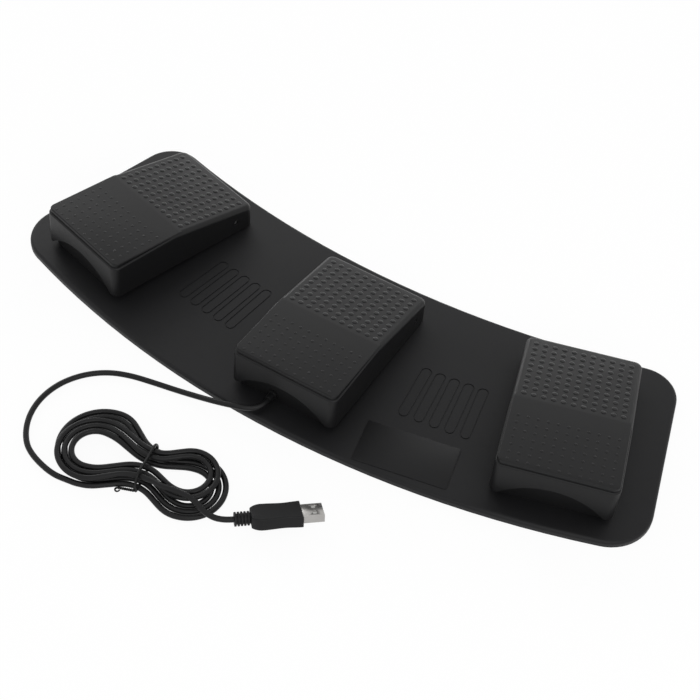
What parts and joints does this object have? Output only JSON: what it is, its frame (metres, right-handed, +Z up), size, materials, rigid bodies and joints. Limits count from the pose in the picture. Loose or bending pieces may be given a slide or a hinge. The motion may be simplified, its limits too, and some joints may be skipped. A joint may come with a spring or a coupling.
{
  "type": "usb foot pedal switch",
  "caption": "Curved base plate with rocking foot pedals side by side on hinges, each over a snap switch and return spring, with a tied cable that ends in a USB plug.",
  "frame": {"origin": "on the table under the middle of the base plate", "axes": "+X along the plate, +Y towards the pedals' toe ends and the cable, +Z up"},
  "size_m": [0.44, 0.2649, 0.0356],
  "materials": {
    "pedal_plastic": "fine-grained black ABS, soft sheen",
    "plate_plastic": "fine-grained black ABS",
    "base_plastic": "plain black ABS",
    "mat_rubber": "matt black rubber",
    "label_film": "smooth black film, bare",
    "steel": "zinc plated",
    "black_steel": "black zinc",
    "spring_steel": "drawn wire",
    "switch_plastic": "moulded black nylon",
    "board": "green solder mask",
    "chip": "moulded black",
    "connector_plastic": "natural nylon",
    "lead_jacket": "thin PVC jackets",
    "cable_jacket": "smooth black PVC, soft sheen",
    "tie_plastic": "plastic skin over a thin wire",
    "plug_plastic": "moulded black PVC",
    "plug_steel": "nickel plated sheet",
    "tongue_plastic": "white nylon",
    "contact_metal": "gold flashed"
  },
  "bodies": {
    "base": {"base_plate": "plate_plastic", "anti_slip_mat": "mat_rubber", "label_sticker": "label_film", "left_pedal_base": "base_plastic", "left_hinge_pin": "steel", "left_return_spring": "spring_steel", "left_switch_body": "switch_plastic", "left_switch_screws": "steel", "left_base_screws": "black_steel", "middle_pedal_base": "base_plastic", "middle_hinge_pin": "steel", "middle_return_spring": "spring_steel", "middle_switch_body": "switch_plastic", "middle_switch_screws": "steel", "middle_base_screws": "black_steel", "right_pedal_base": "base_plastic", "right_hinge_pin": "steel", "right_return_spring": "spring_steel", "right_switch_body": "switch_plastic", "right_switch_screws": "steel", "right_base_screws": "black_steel", "controller_board": "board", "controller_chip": "chip", "board_connectors": "connector_plastic", "board_screws": "steel", "left_switch_leads": "lead_jacket", "middle_switch_leads": "lead_jacket", "right_switch_leads": "lead_jacket", "cable_gland": "cable_jacket", "cable_end": "cable_jacket", "cable_cores": "lead_jacket", "cable_clamp": "base_plastic", "clamp_screws": "steel", "cord_lead": "cable_jacket", "cord_hank": "cable_jacket", "cord_tail": "cable_jacket", "cord_tie": "tie_plastic", "plug_boot": "plug_plastic", "plug_body": "plug_plastic", "plug_shell": "plug_steel", "plug_tongue": "tongue_plastic", "plug_contacts": "contact_metal"},
    "left_pedal": {"left_pedal_cover": "pedal_plastic"},
    "left_plunger": {"left_switch_plunger": "switch_plastic"},
    "middle_pedal": {"middle_pedal_cover": "pedal_plastic"},
    "middle_plunger": {"middle_switch_plunger": "switch_plastic"},
    "right_pedal": {"right_pedal_cover": "pedal_plastic"},
    "right_plunger": {"right_switch_plunger": "switch_plastic"}
  },
  "joints": [
    {"name": "left_pedal_press", "type": "hinge", "parent": "base", "child": "left_pedal", "pos_m": [-0.14, -0.04693, 0.0145], "axis": [-0.963, -0.2696, 0], "range_deg": [0, 2.5], "stiffness_Nm_per_rad": 4, "springref_deg": -2.86, "deforming": ["left_return_spring"]},
    {"name": "left_plunger_slide", "type": "slide", "parent": "base", "child": "left_plunger", "axis": [0, 0, -1], "range_m": [0, 0.0013]},
    {"name": "middle_pedal_press", "type": "hinge", "parent": "base", "child": "middle_pedal", "pos_m": [0, -0.0277, 0.0145], "axis": [-1, 0, 0], "range_deg": [0, 2.5], "stiffness_Nm_per_rad": 4, "springref_deg": -2.86, "deforming": ["middle_return_spring"]},
    {"name": "middle_plunger_slide", "type": "slide", "parent": "base", "child": "middle_plunger", "axis": [0, 0, -1], "range_m": [0, 0.0013]},
    {"name": "right_pedal_press", "type": "hinge", "parent": "base", "child": "right_pedal", "pos_m": [0.14, -0.04693, 0.0145], "axis": [-0.963, 0.2696, 0], "range_deg": [0, 2.5], "stiffness_Nm_per_rad": 4, "springref_deg": -2.86, "deforming": ["right_return_spring"]},
    {"name": "right_plunger_slide", "type": "slide", "parent": "base", "child": "right_plunger", "axis": [0, 0, -1], "range_m": [0, 0.0013]}
  ],
  "couplings": [
    {"joint": "left_plunger_slide", "follows": "left_pedal_press", "m_per_rad": 0.0288},
    {"joint": "middle_plunger_slide", "follows": "middle_pedal_press", "m_per_rad": 0.0288},
    {"joint": "right_plunger_slide", "follows": "right_pedal_press", "m_per_rad": 0.0288}
  ]
}
